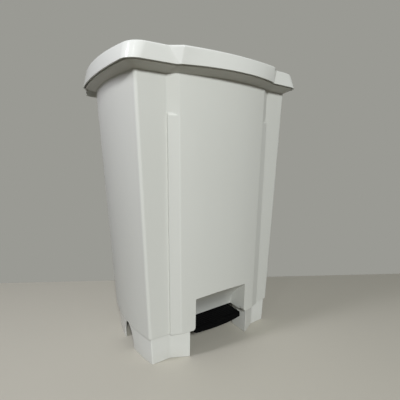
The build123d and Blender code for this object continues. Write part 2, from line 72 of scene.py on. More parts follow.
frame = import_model()
MM = 0.001
PIXELS = 400                       # width and height of the photograph
MERGE_GAP = 0.05 * MM              # corners closer than this are one corner
FLAT_ANGLE = math.radians(0.5)     # faces that meet at less than this are one face
SHARP_ANGLE = math.radians(35.0)   # edges that turn by more than this are rounded
ROOM_SHARE = 0.45                  # part of the room beside an edge that its rounding may take
ROUND_SIDES = 48                   # sides of a clip's round outlines
RIDGE_SIDES = 16                   # sides of a ridge's round bar
# A colour Mix node's sockets go by place, because its kinds share their names.
SHARE, FIRST, SECOND, MIXED = 0, 6, 7, 2


def linear(code):
    """Linear colour from an sRGB hex value."""
    parts = [int(code[start:start + 2], 16) / 255 for start in (1, 3, 5)]
    return (*(part / 12.92 if part <= 0.04045 else ((part + 0.055) / 1.055) ** 2.4 for part in parts), 1.0)


def colour(name, description, code):
    """A colour property from an sRGB hex value."""
    return FloatVectorProperty(
        name=name, description=description, default=linear(code), subtype="COLOR", size=4, min=0, max=1
    )


def length(name, description, millimetres):
    """A size property from millimetres."""
    return FloatProperty(
        name=name, description=description, default=millimetres * MM, unit="LENGTH", min=0, precision=5
    )


def strength(name, description, value):
    """A property for the strength of even light."""
    return FloatProperty(name=name, description=description, default=value, min=0)


def power(name, description, watts):
    """A property for a lamp's power."""
    return FloatProperty(name=name, description=description, default=watts, unit="POWER", min=0)


class CanFinish(bpy.types.PropertyGroup):
    """Colours of the can's materials."""

    body_white: colour("Body white", "Plastic of the body", "#DADBD6")
    body_cloud: colour("Body clouding", "Slow change of tone in the body's plastic", "#D6D7D1")
    # Painted light: the lid's and base's whites are drawn lighter than the body's, for the stronger light
    # that falls on them.
    trim_white_painted_lighter: colour("Trim white", "Plastic of the base and lid", "#E2E3DF")
    trim_cloud_painted_lighter: colour("Trim clouding", "Slow change of tone in the trim's plastic", "#DEDFDA")
    dust: colour("Dust", "Scuffed plastic close to the floor", "#B9B4A6")
    black: colour("Black plastic", "Pedal tread", "#030304")
    black_worn: colour("Worn black", "Rubbed tops of the tread's ribs", "#101011")
    zinc: colour("Zinc", "Plated steel", "#B4B6B7")
    zinc_spangle: colour("Zinc spangle", "Darker crystals in the plating", "#94979B")
    nylon: colour("Nylon", "Guides and bushes", "#D6D2C4")


class CanSizes(bpy.types.PropertyGroup):
    """Sizes of the details that the finish adds."""

    shell_edge: length("Shell edge", "Rounding of the moulded edges", 0.9)
    tread_edge: length("Tread edge", "Rounding of the tread's edges", 0.7)
    metal_edge: length("Metal edge", "Rounding of the lever's cut edges", 0.4)
    ridge_width: length("Ridge width", "Fine ridges between the tread's ribs", 1.2)
    ridge_height: length("Ridge height", "Fine ridges above the tread", 0.5)
    ridge_count: IntProperty(name="Ridges", description="Fine ridges between two ribs", default=2, min=1)
    head_height: length("Head height", "Height of a screw's pan head", 2.5)
    shank_diameter: length("Shank", "Diameter of a screw below its head", 4.0)
    recess_width: length("Recess width", "Width of the cross recess", 1.1)
    recess_length: length("Recess length", "Length of the cross recess", 4.4)
    recess_depth: length("Recess depth", "Depth of the cross recess", 1.2)
    slot_count: IntProperty(name="Clip slots", description="Slots round a clip's bore", default=6, min=3)
    slot_width: length("Slot width", "Width of a clip's slots", 0.8)


class CanStage(bpy.types.PropertyGroup):
    """Floor, background and lights."""

    floor: colour("Floor", "Plain floor as it is seen", "#C0BCB0")
    floor_bounce: colour("Floor bounce", "Floor further off, as it throws light back", "#575040")
    background: colour("Background", "Plain space behind the floor", "#9A9A94")
    ambient: strength("Ambient", "Even light from the front, left and above", 0.06)
    back_light: strength("Back light", "Even light from the back and right", 0.36)
    key_power: power("Key", "Lamp at the left", 11.0)
    front_power: power("Front", "Lamp high behind the camera", 126.0)
    strip_power: power("Strip", "Tall, narrow lamp", 1.6)


def add(tree, kind, settings=None, sockets=None):
    """Add a node, set its options, and fill or link its sockets."""
    item = tree.nodes.new(kind)
    for name, value in (settings or {}).items():
        setattr(item, name, value)
    for key, value in (sockets or {}).items():
        if isinstance(value, bpy.types.NodeSocket):
            tree.links.new(value, item.inputs[key])
        else:
            item.inputs[key].default_value = value
    return item


def material(name):
    """An empty node material with its shader, and Object coordinates to draw patterns on."""
    made = bpy.data.materials.new(name)
    made.use_nodes = True
    tree = made.node_tree
    tree.nodes.clear()
    shader = add(tree, "ShaderNodeBsdfPrincipled")
    add(tree, "ShaderNodeOutputMaterial", sockets={"Surface": shader.outputs["BSDF"]})
    coords = add(tree, "ShaderNodeTexCoord").outputs["Object"]
    return made, tree, shader, coords


def white_polypropylene(name, white, clouding, dust, smoothest, dullest):
    """White polypropylene: clean, with a soft gloss that keeps the facets' edges bright, a tone that hardly
    clouds, a faint flow ripple in the highlights, and light scuffs close to the floor."""
    made, tree, shader, coords = material(name)
    cloud = add(tree, "ShaderNodeTexNoise", sockets={"Vector": coords, "Scale": 1 / (240 * MM), "Detail": 1})
    tone = add(
        tree, "ShaderNodeMix", {"data_type": "RGBA"},
        {SHARE: cloud.outputs["Fac"], FIRST: white, SECOND: clouding},
    )
    spot = add(tree, "ShaderNodeSeparateXYZ", sockets={"Vector": coords})
    low = add(
        tree, "ShaderNodeMapRange",
        sockets={
            "Value": spot.outputs["Z"], "From Min": 2 * MM, "From Max": 30 * MM, "To Min": 0.25, "To Max": 0,
        },
    )
    rubbed = add(tree, "ShaderNodeTexNoise", sockets={"Vector": coords, "Scale": 1 / (12 * MM), "Detail": 5})
    scuff = add(
        tree, "ShaderNodeMath", {"operation": "MULTIPLY"},
        {0: low.outputs["Result"], 1: rubbed.outputs["Fac"]},
    )
    worn = add(
        tree, "ShaderNodeMix", {"data_type": "RGBA"},
        {SHARE: scuff.outputs[0], FIRST: tone.outputs[MIXED], SECOND: dust},
    )
    tree.links.new(worn.outputs[MIXED], shader.inputs["Base Color"])
    gloss = add(
        tree, "ShaderNodeMapRange",
        sockets={"Value": cloud.outputs["Fac"], "To Min": smoothest, "To Max": dullest},
    )
    tree.links.new(gloss.outputs["Result"], shader.inputs["Roughness"])
    flow = add(tree, "ShaderNodeTexNoise", sockets={"Vector": coords, "Scale": 1 / (18 * MM), "Detail": 0})
    ripple = add(
        tree, "ShaderNodeBump",
        sockets={"Height": flow.outputs["Fac"], "Strength": 0.02, "Distance": 0.3 * MM},
    )
    tree.links.new(ripple.outputs["Normal"], shader.inputs["Normal"])
    shader.inputs["IOR"].default_value = 1.49
    shader.inputs["Specular IOR Level"].default_value = 0.3
    return made


def moulded_polypropylene(finish):
    """The body's plastic, satin from a blasted mould: its large faces show only broad, soft changes of
    light."""
    return white_polypropylene(
        "moulded_white_polypropylene", finish.body_white, finish.body_cloud, finish.dust, 0.40, 0.48
    )


def polished_polypropylene(finish):
    """The plastic of the lid and base, from a polished mould: narrow, bright streaks on the corners. Its
    whites are drawn lighter than the body's, as painted light for the stronger light on the lid and base."""
    return white_polypropylene(
        "polished_white_polypropylene", finish.trim_white_painted_lighter, finish.trim_cloud_painted_lighter, finish.dust, 0.07, 0.10
    )


def grained_polypropylene(finish):
    """Black polypropylene from a spark-eroded mould: deep black and matt, with slightly paler, rubbed rib
    tops and a grain that breaks up the light. The grain is drawn coarser than the real one, to show."""
    made, tree, shader, coords = material("grained_black_polypropylene")
    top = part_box("pedal_tread")[1].z
    spot = add(tree, "ShaderNodeSeparateXYZ", sockets={"Vector": coords})
    crest = add(
        tree, "ShaderNodeMapRange",
        sockets={
            "Value": spot.outputs["Z"], "From Min": top - 0.5 * MM, "From Max": top,
            "To Min": 0, "To Max": 0.7,
        },
    )
    rubbed = add(tree, "ShaderNodeTexNoise", sockets={"Vector": coords, "Scale": 1 / (9 * MM), "Detail": 3})
    worn = add(
        tree, "ShaderNodeMath", {"operation": "MULTIPLY"},
        {0: crest.outputs["Result"], 1: rubbed.outputs["Fac"]},
    )
    tone = add(
        tree, "ShaderNodeMix", {"data_type": "RGBA"},
        {SHARE: worn.outputs[0], FIRST: finish.black, SECOND: finish.black_worn},
    )
    tree.links.new(tone.outputs[MIXED], shader.inputs["Base Color"])
    sheen = add(
        tree, "ShaderNodeMapRange", sockets={"Value": rubbed.outputs["Fac"], "To Min": 0.55, "To Max": 0.7}
    )
    tree.links.new(sheen.outputs["Result"], shader.inputs["Roughness"])
    grain = add(tree, "ShaderNodeTexNoise", sockets={"Vector": coords, "Scale": 1 / (1.2 * MM), "Detail": 2})
    rough = add(
        tree, "ShaderNodeBump",
        sockets={"Height": grain.outputs["Fac"], "Strength": 0.3, "Distance": 0.3 * MM},
    )
    tree.links.new(rough.outputs["Normal"], shader.inputs["Normal"])
    shader.inputs["Specular IOR Level"].default_value = 0.06
    return made


def zinc_plated_steel(finish):
    """Zinc-plated steel: dull grey metal with a cloudy crystal pattern and drawing marks, which are coarser
    than the real ones, to show."""
    made, tree, shader, coords = material("zinc_plated_steel")
    cells = add(tree, "ShaderNodeTexVoronoi", sockets={"Vector": coords, "Scale": 1 / (6 * MM)})
    tone = add(
        tree, "ShaderNodeMix", {"data_type": "RGBA"},
        {SHARE: cells.outputs["Color"], FIRST: finish.zinc, SECOND: finish.zinc_spangle},
    )
    tree.links.new(tone.outputs[MIXED], shader.inputs["Base Color"])
    haze = add(tree, "ShaderNodeTexNoise", sockets={"Vector": coords, "Scale": 1 / (4 * MM), "Detail": 4})
    dull = add(
        tree, "ShaderNodeMapRange", sockets={"Value": haze.outputs["Fac"], "To Min": 0.28, "To Max": 0.5}
    )
    tree.links.new(dull.outputs["Result"], shader.inputs["Roughness"])
    drawn = add(tree, "ShaderNodeTexNoise", sockets={"Vector": coords, "Scale": 1 / (0.8 * MM), "Detail": 2})
    marks = add(
        tree, "ShaderNodeBump",
        sockets={"Height": drawn.outputs["Fac"], "Strength": 0.12, "Distance": 0.2 * MM},
    )
    tree.links.new(marks.outputs["Normal"], shader.inputs["Normal"])
    shader.inputs["Metallic"].default_value = 1.0
    return made


def natural_nylon(finish):
    """Uncoloured moulded nylon: creamy and a little waxy, with a soft mottle and a grain that is drawn
    coarser than the real one, to show."""
    made, tree, shader, coords = material("moulded_natural_nylon")
    mottle = add(tree, "ShaderNodeTexNoise", sockets={"Vector": coords, "Scale": 1 / (7 * MM), "Detail": 3})
    share = add(
        tree, "ShaderNodeMapRange", sockets={"Value": mottle.outputs["Fac"], "To Min": 0, "To Max": 0.3}
    )
    tone = add(
        tree, "ShaderNodeMix", {"data_type": "RGBA"},
        {SHARE: share.outputs["Result"], FIRST: finish.nylon, SECOND: finish.dust},
    )
    tree.links.new(tone.outputs[MIXED], shader.inputs["Base Color"])
    waxy = add(
        tree, "ShaderNodeMapRange", sockets={"Value": mottle.outputs["Fac"], "To Min": 0.4, "To Max": 0.55}
    )
    tree.links.new(waxy.outputs["Result"], shader.inputs["Roughness"])
    grain = add(tree, "ShaderNodeTexNoise", sockets={"Vector": coords, "Scale": 1 / (1.5 * MM)})
    skin = add(
        tree, "ShaderNodeBump",
        sockets={"Height": grain.outputs["Fac"], "Strength": 0.1, "Distance": 0.2 * MM},
    )
    tree.links.new(skin.outputs["Normal"], shader.inputs["Normal"])
    shader.inputs["IOR"].default_value = 1.53
    return made


made_materials = {}


def finish_of(maker):
    """Each material is made once, from the colours that are set."""
    if maker not in made_materials:
        made_materials[maker] = maker(bpy.context.scene.can_finish)
    return made_materials[maker]


def evaluated_mesh(mesh, prepare):
    """A plain mesh of what the prepared modifiers make of a mesh."""
    carrier = bpy.data.objects.new("carrier", mesh)
    bpy.context.scene.collection.objects.link(carrier)
    prepare(carrier)
    ready = bpy.data.meshes.new_from_object(carrier.evaluated_get(bpy.context.evaluated_depsgraph_get()))
    bpy.data.objects.remove(carrier)
    return ready


def place(name, mesh, maker, node, replaces=()):
    """Put a finished mesh in the scene with a material: it rides on a node's body, and may stand for
    nodes."""
    mesh.materials.clear()
    mesh.materials.append(finish_of(maker))
    piece = bpy.data.objects.new(name, mesh)
    bpy.context.scene.collection.objects.link(piece)
    solid = frame["nodes"][node]
    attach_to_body(piece, solid["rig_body"])
    if replaces:
        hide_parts(*replaces)


def merged(node):
    """A node's mesh as one connected shape, with its flat faces whole."""
    shape = bmesh.new()
    shape.from_mesh(frame["nodes"][node].data)
    bmesh.ops.remove_doubles(shape, verts=shape.verts, dist=MERGE_GAP)
    bmesh.ops.dissolve_limit(shape, angle_limit=FLAT_ANGLE, verts=shape.verts, edges=shape.edges)
    return shape


def room_beside(edge, others):
    """Least distance from an edge to those of the others that run beside it and share no corner with it."""
    start = edge.verts[0].co
    span = edge.calc_length()
    along = (edge.verts[1].co - start) / span
    room = math.inf
    for other in others:
        if set(other.verts) & set(edge.verts):
            continue
        ends = sorted((vertex.co - start for vertex in other.verts), key=along.dot)
        first, last = (end.dot(along) for end in ends)
        low, high = max(first, 0), min(last, span)
        if first == last or low > high:
            continue
        for spot in (low, high):
            share = (spot - first) / (last - first)
            room = min(room, (ends[0].lerp(ends[1], share) - along * spot).length)
    return room


def rounded_copy(node, edge, convex=False):
    """A copy of a CAD node with small rounded edges, narrower where there is little room beside them, and
    with its faces split into convex ones if that is asked for. A corner that lands off the solid goes back
    on it."""
    source = frame["nodes"][node].data
    solid = BVHTree.FromPolygons([v.co for v in source.vertices], [p.vertices for p in source.polygons])
    shape = merged(node)
    if convex:
        bmesh.ops.connect_verts_concave(shape, faces=shape.faces)
    width = shape.edges.layers.float.new("bevel_weight_edge")
    sharp = {item for item in shape.edges if item.is_manifold and item.calc_face_angle() > SHARP_ANGLE}
    for item in sharp:
        room = min(room_beside(item, sharp.intersection(face.edges)) for face in item.link_faces)
        item[width] = min(1, ROOM_SHARE * room / edge)
    for face in shape.faces:
        face.smooth = True
    mesh = bpy.data.meshes.new(node)
    shape.to_mesh(mesh)
    shape.free()

    def round_edges(carrier):
        bevel = carrier.modifiers.new("edge", "BEVEL")
        bevel.width = edge
        bevel.segments = 2
        bevel.limit_method = "WEIGHT"
        bevel.use_clamp_overlap = False
        bevel.loop_slide = False
        bevel.miter_outer = "MITER_ARC"

    ready = evaluated_mesh(mesh, round_edges)
    for vertex in ready.vertices:
        nearest, _, _, gap = solid.find_nearest(vertex.co)
        if gap > edge:
            vertex.co = nearest

    def weigh_normals(carrier):
        carrier.modifiers.new("shading", "WEIGHTED_NORMAL").keep_sharp = True

    return evaluated_mesh(ready, weigh_normals)


def dress(node, maker, edge, convex=False):
    """Stand a rounded copy with a material in for a CAD node."""
    place(f"{node}_skin", rounded_copy(node, edge, convex), maker, node, [node])


def solid_boxes(node):
    """Lowest and highest corner of each separate solid of a node."""
    shape = merged(node)
    waiting = set(shape.verts)
    boxes = []
    while waiting:
        front = [waiting.pop()]
        island = []
        while front:
            vertex = front.pop()
            island.append(vertex.co.copy())
            linked = {link.other_vert(vertex) for link in vertex.link_edges} & waiting
            waiting -= linked
            front.extend(linked)
        boxes.append(tuple(Vector(map(pick, zip(*island))) for pick in (min, max)))
    shape.free()
    return boxes


def geometry_tree(name, inputs):
    """A Geometry Nodes tree that takes points and named sizes; a whole number makes a whole-number input."""
    tree = bpy.data.node_groups.new(name, "GeometryNodeTree")
    tree.interface.new_socket("Geometry", in_out="INPUT", socket_type="NodeSocketGeometry")
    tree.interface.new_socket("Geometry", in_out="OUTPUT", socket_type="NodeSocketGeometry")
    for label, value in inputs.items():
        kind = "NodeSocketInt" if isinstance(value, int) else "NodeSocketFloat"
        tree.interface.new_socket(label, in_out="INPUT", socket_type=kind)
    return tree, add(tree, "NodeGroupInput").outputs


def set_on_points(tree, given, piece, maker):
    """Set a piece on each point with the point's turn, as plain faces with a material."""
    turn = add(tree, "GeometryNodeInputNamedAttribute", {"data_type": "FLOAT_VECTOR"}, {"Name": "turn"})
    rotation = add(tree, "FunctionNodeEulerToRotation", sockets={0: turn.outputs["Attribute"]})
    copies = add(
        tree, "GeometryNodeInstanceOnPoints",
        sockets={"Points": given["Geometry"], "Instance": piece, "Rotation": rotation.outputs[0]},
    )
    plain = add(tree, "GeometryNodeRealizeInstances", sockets={0: copies.outputs[0]})
    finished = add(
        tree, "GeometryNodeSetMaterial", sockets={"Geometry": plain.outputs[0], "Material": finish_of(maker)}
    )
    add(tree, "NodeGroupOutput", sockets={0: finished.outputs[0]})


def grown(build, points, sizes, maker):
    """A plain mesh of a tree's piece on points, given as places and turns, with the sizes set on the tree's
    inputs."""
    mesh = bpy.data.meshes.new("points")
    mesh.from_pydata([spot for spot, _ in points], [], [])
    turns = mesh.attributes.new("turn", "FLOAT_VECTOR", "POINT")
    turns.data.foreach_set("vector", [part for _, turn in points for part in turn])
    tree, given = geometry_tree(build.__name__, sizes)
    set_on_points(tree, given, build(tree, given), maker)

    def attach(carrier):
        modifier = carrier.modifiers.new("grow", "NODES")
        modifier.node_group = tree
        for socket in tree.interface.items_tree:
            if socket.name in sizes:
                modifier[socket.identifier] = sizes[socket.name]

    return evaluated_mesh(mesh, attach)


def cross_recess_screw(tree, given):
    """Pan-head screw along +Z with its seat at the origin and a cross recess in its head."""
    flat = 0.36     # radius of the head's flat top, as a part of the head's diameter
    sloping = 0.6   # part of the head's height that slopes
    upright = 0.4   # part of the head's height that stands straight
    half = add(tree, "ShaderNodeMath", {"operation": "MULTIPLY"}, {0: given["Head Diameter"], 1: 0.5})
    crown = add(tree, "ShaderNodeMath", {"operation": "MULTIPLY"}, {0: given["Head Diameter"], 1: flat})
    slope = add(tree, "ShaderNodeMath", {"operation": "MULTIPLY"}, {0: given["Head Height"], 1: sloping})
    band = add(tree, "ShaderNodeMath", {"operation": "MULTIPLY"}, {0: given["Head Height"], 1: upright})
    top_z = add(tree, "ShaderNodeMath", {"operation": "MULTIPLY"}, {0: given["Head Height"], 1: -1})
    band_z = add(tree, "ShaderNodeMath", {"operation": "MULTIPLY"}, {0: band.outputs[0], 1: -1})
    dome = add(
        tree, "GeometryNodeMeshCone",
        sockets={
            "Radius Bottom": crown.outputs[0], "Radius Top": half.outputs[0], "Depth": slope.outputs[0],
        },
    )
    at_top = add(tree, "ShaderNodeCombineXYZ", sockets={"Z": top_z.outputs[0]})
    dome_set = add(
        tree, "GeometryNodeTransform",
        sockets={"Geometry": dome.outputs["Mesh"], "Translation": at_top.outputs[0]},
    )
    head = dome_set.outputs[0]
    # A bar centred on the head's top cuts each arm. The second bar is a little lower than the first, because
    # two floors in one plane would leave open edges.
    for first, second, depths in (("X", "Y", 2.0), ("Y", "X", 1.9)):
        deep = add(tree, "ShaderNodeMath", {"operation": "MULTIPLY"}, {0: given["Recess Depth"], 1: depths})
        size = add(
            tree, "ShaderNodeCombineXYZ",
            sockets={first: given["Recess Length"], second: given["Recess Width"], "Z": deep.outputs[0]},
        )
        arm = add(tree, "GeometryNodeMeshCube", sockets={"Size": size.outputs[0]})
        arm_set = add(
            tree, "GeometryNodeTransform",
            sockets={"Geometry": arm.outputs["Mesh"], "Translation": at_top.outputs[0]},
        )
        cut = add(
            tree, "GeometryNodeMeshBoolean", {"operation": "DIFFERENCE"},
            {"Mesh 1": head, "Mesh 2": arm_set.outputs[0]},
        )
        head = cut.outputs["Mesh"]
    rim = add(
        tree, "GeometryNodeMeshCone",
        sockets={"Radius Bottom": half.outputs[0], "Radius Top": half.outputs[0], "Depth": band.outputs[0]},
    )
    at_rim = add(tree, "ShaderNodeCombineXYZ", sockets={"Z": band_z.outputs[0]})
    rim_set = add(
        tree, "GeometryNodeTransform",
        sockets={"Geometry": rim.outputs["Mesh"], "Translation": at_rim.outputs[0]},
    )
    thin = add(tree, "ShaderNodeMath", {"operation": "MULTIPLY"}, {0: given["Shank Diameter"], 1: 0.5})
    shank = add(
        tree, "GeometryNodeMeshCone",
        sockets={
            "Radius Bottom": thin.outputs[0], "Radius Top": thin.outputs[0], "Depth": given["Shank Length"],
        },
    )
    whole = add(tree, "GeometryNodeJoinGeometry", sockets={0: head})
    tree.links.new(rim_set.outputs[0], whole.inputs[0])
    tree.links.new(shank.outputs["Mesh"], whole.inputs[0])
    return whole.outputs[0]


def star_clip(tree, given):
    """Push-on clip along Z, with slots round its bore that leave spring tongues."""
    half = add(tree, "ShaderNodeMath", {"operation": "MULTIPLY"}, {0: given["Diameter"], 1: 0.5})
    bore = add(tree, "ShaderNodeMath", {"operation": "MULTIPLY"}, {0: given["Bore"], 1: 0.5})
    disc = add(
        tree, "GeometryNodeMeshCylinder",
        sockets={"Vertices": ROUND_SIDES, "Radius": half.outputs[0], "Depth": given["Thickness"]},
    )
    deep = add(tree, "ShaderNodeMath", {"operation": "MULTIPLY"}, {0: given["Thickness"], 1: 2})
    hole = add(
        tree, "GeometryNodeMeshCylinder",
        sockets={"Vertices": ROUND_SIDES, "Radius": bore.outputs[0], "Depth": deep.outputs[0]},
    )
    spread = add(
        tree, "GeometryNodeMeshCircle", sockets={"Vertices": given["Slots"], "Radius": bore.outputs[0]}
    )
    slot_size = add(
        tree, "ShaderNodeCombineXYZ",
        sockets={"X": bore.outputs[0], "Y": given["Slot Width"], "Z": deep.outputs[0]},
    )
    slot = add(tree, "GeometryNodeMeshCube", sockets={"Size": slot_size.outputs[0]})
    spot = add(tree, "GeometryNodeInputPosition")
    outward = add(
        tree, "FunctionNodeAlignRotationToVector", {"axis": "X", "pivot_axis": "Z"},
        {"Vector": spot.outputs[0]},
    )
    slots = add(
        tree, "GeometryNodeInstanceOnPoints",
        sockets={
            "Points": spread.outputs[0], "Instance": slot.outputs["Mesh"], "Rotation": outward.outputs[0],
        },
    )
    cutters = add(tree, "GeometryNodeRealizeInstances", sockets={0: slots.outputs[0]})
    clip = add(
        tree, "GeometryNodeMeshBoolean", {"operation": "DIFFERENCE"},
        {"Mesh 1": disc.outputs["Mesh"], "Mesh 2": hole.outputs["Mesh"]},
    )
    tree.links.new(cutters.outputs[0], clip.inputs["Mesh 2"])
    return clip.outputs["Mesh"]


def fine_ridge(tree, given):
    """Half-round ridge along X, sunk so that only its crest stands above the origin."""
    half = add(tree, "ShaderNodeMath", {"operation": "MULTIPLY"}, {0: given["Width"], 1: 0.5})
    bar = add(
        tree, "GeometryNodeMeshCylinder",
        sockets={"Vertices": RIDGE_SIDES, "Radius": half.outputs[0], "Depth": given["Length"]},
    )
    depth = add(tree, "ShaderNodeMath", {"operation": "SUBTRACT"}, {0: given["Height"], 1: half.outputs[0]})
    sunk = add(tree, "ShaderNodeCombineXYZ", sockets={"Z": depth.outputs[0]})
    lying = add(
        tree, "GeometryNodeTransform",
        sockets={
            "Geometry": bar.outputs["Mesh"],
            "Translation": sunk.outputs[0],
            "Rotation": (0, math.radians(90), 0),
        },
    )
    return lying.outputs[0]


def fit_screws(sizes, node, direction):
    """Stand cross-recess screws in for a node's plain ones, which are alike; the direction runs from head to
    tip."""
    boxes = solid_boxes(node)
    low, high = boxes[0]
    reach = (high - low).dot(Vector(map(abs, direction(low))))
    points = []
    for first, last in boxes:
        middle = (first + last) / 2
        way = direction(middle)
        seat = middle + way * (sizes.head_height - reach / 2)
        points.append((seat, way.to_track_quat("Z", "Y").to_euler()))
    values = {
        "Head Diameter": min(high - low),
        "Head Height": sizes.head_height,
        "Shank Diameter": sizes.shank_diameter,
        "Shank Length": reach - sizes.head_height,
        "Recess Width": sizes.recess_width,
        "Recess Length": sizes.recess_length,
        "Recess Depth": sizes.recess_depth,
    }
    mesh = grown(cross_recess_screw, points, values, zinc_plated_steel)
    place(f"{node}_skin", mesh, zinc_plated_steel, node, [node])


def fit_clips(sizes, node, bore):
    """Stand slotted clips in for a node's plain rings, which lie across X."""
    boxes = solid_boxes(node)
    low, high = boxes[0]
    values = {
        "Diameter": high.z - low.z,
        "Bore": bore,
        "Thickness": high.x - low.x,
        "Slots": sizes.slot_count,
        "Slot Width": sizes.slot_width,
    }
    points = [((first + last) / 2, (0, math.radians(90), 0)) for first, last in boxes]
    mesh = grown(star_clip, points, values, zinc_plated_steel)
    place(f"{node}_skin", mesh, zinc_plated_steel, node, [node])


def upwards(middle):
    """Way of a screw that is driven from below."""
    return Vector((0, 0, 1))


def inwards(middle):
    """Way of a screw that is driven from its side of the can towards the middle."""
    return Vector((-math.copysign(1, middle.x), 0, 0))


def way_to(azimuth, elevation):
    """Unit vector from the can towards a place at an azimuth, from the front, and an elevation in degrees."""
    turn, rise = math.radians(azimuth), math.radians(elevation)
    return Vector((math.sin(turn) * math.cos(rise), -math.cos(turn) * math.cos(rise), math.sin(rise)))


class CAN_OT_shells(bpy.types.Operator):
    """Round the edges of the body, base and lid and make them white plastic"""

    bl_idname = "can.shells"
    bl_label = "Moulded shells"

    def execute(self, context):
        edge = context.scene.can_sizes.shell_edge
        dress("body_shell", moulded_polypropylene, edge)
        dress("base_plinth", polished_polypropylene, edge)
        dress("lid_shell", polished_polypropylene, edge)
        return {"FINISHED"}


class CAN_OT_tread(bpy.types.Operator):
    """Make the tread black plastic with fine ridges between its ribs"""

    bl_idname = "can.tread"
    bl_label = "Pedal tread"

    def execute(self, context):
        sizes = context.scene.can_sizes
        dress("pedal_tread", grained_polypropylene, sizes.tread_edge, convex=True)
        self.grow_ridges(sizes)
        return {"FINISHED"}

    def grow_ridges(self, sizes):
        """Fine ridges share out the gaps between the ribs that stand highest on the tread."""
        level_normal = 0.99     # least upward part of the normal of a level face
        rib_play = 0.1 * MM     # rib tops lie within this of the highest point
        rib_height = 0.5 * MM   # the ribs stand at least this much above the tread
        shape = merged("pedal_tread")
        top = max(vertex.co.z for vertex in shape.verts)
        level_faces = [face for face in shape.faces if face.normal.z > level_normal]
        tops = [face for face in level_faces if face.calc_center_median().z > top - rib_play]
        spans = sorted((min(v.co.y for v in face.verts), max(v.co.y for v in face.verts)) for face in tops)
        level = max(v.co.z for v in shape.verts if v.co.z < top - rib_height)
        reach = max(v.co.x for v in tops[0].verts) - min(v.co.x for v in tops[0].verts)
        shape.free()
        points = []
        for (_, start), (end, _) in zip(spans, spans[1:]):
            for index in range(sizes.ridge_count):
                share = (index + 1) / (sizes.ridge_count + 1)
                points.append(((0, start + (end - start) * share, level), (0, 0, 0)))
        values = {"Width": sizes.ridge_width, "Height": sizes.ridge_height, "Length": reach}
        mesh = grown(fine_ridge, points, values, grained_polypropylene)
        place("tread_ridges", mesh, grained_polypropylene, "pedal_tread")


class CAN_OT_linkage(bpy.types.Operator):
    """Make the lever, axle, rod and pins plated steel"""

    bl_idname = "can.linkage"
    bl_label = "Steel linkage"

    def execute(self, context):
        for node in ("pedal_lever", "pedal_axle", "hinge_pin_left", "hinge_pin_right"):
            dress(node, zinc_plated_steel, context.scene.can_sizes.metal_edge)
        frame["nodes"]["push_rod"].data.materials[0] = finish_of(zinc_plated_steel)
        return {"FINISHED"}


class CAN_OT_fasteners(bpy.types.Operator):
    """Make the screws and clips, with their recesses and slots"""

    bl_idname = "can.fasteners"
    bl_label = "Screws and clips"

    def execute(self, context):
        sizes = context.scene.can_sizes
        fit_screws(sizes, "base_screws", upwards)
        fit_screws(sizes, "tread_screws", upwards)
        fit_screws(sizes, "rod_guide_screws", inwards)
        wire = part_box("push_rod")
        for node in ("rod_lower_clip", "rod_upper_clip"):
            fit_clips(sizes, node, wire[1].y - wire[0].y)
        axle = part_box("pedal_axle")
        fit_clips(sizes, "axle_clips", axle[1].z - axle[0].z)
        fit_clips(sizes, "hinge_clips", wire[1].y - wire[0].y)
        return {"FINISHED"}


class CAN_OT_bearings(bpy.types.Operator):
    """Make the rod's guides and the pivot's bushes natural nylon"""

    bl_idname = "can.bearings"
    bl_label = "Nylon bearings"

    def execute(self, context):
        for node in ("rod_guide_lower", "rod_guide_upper", "pivot_bush_left", "pivot_bush_right"):
            dress(node, natural_nylon, context.scene.can_sizes.metal_edge)
        return {"FINISHED"}


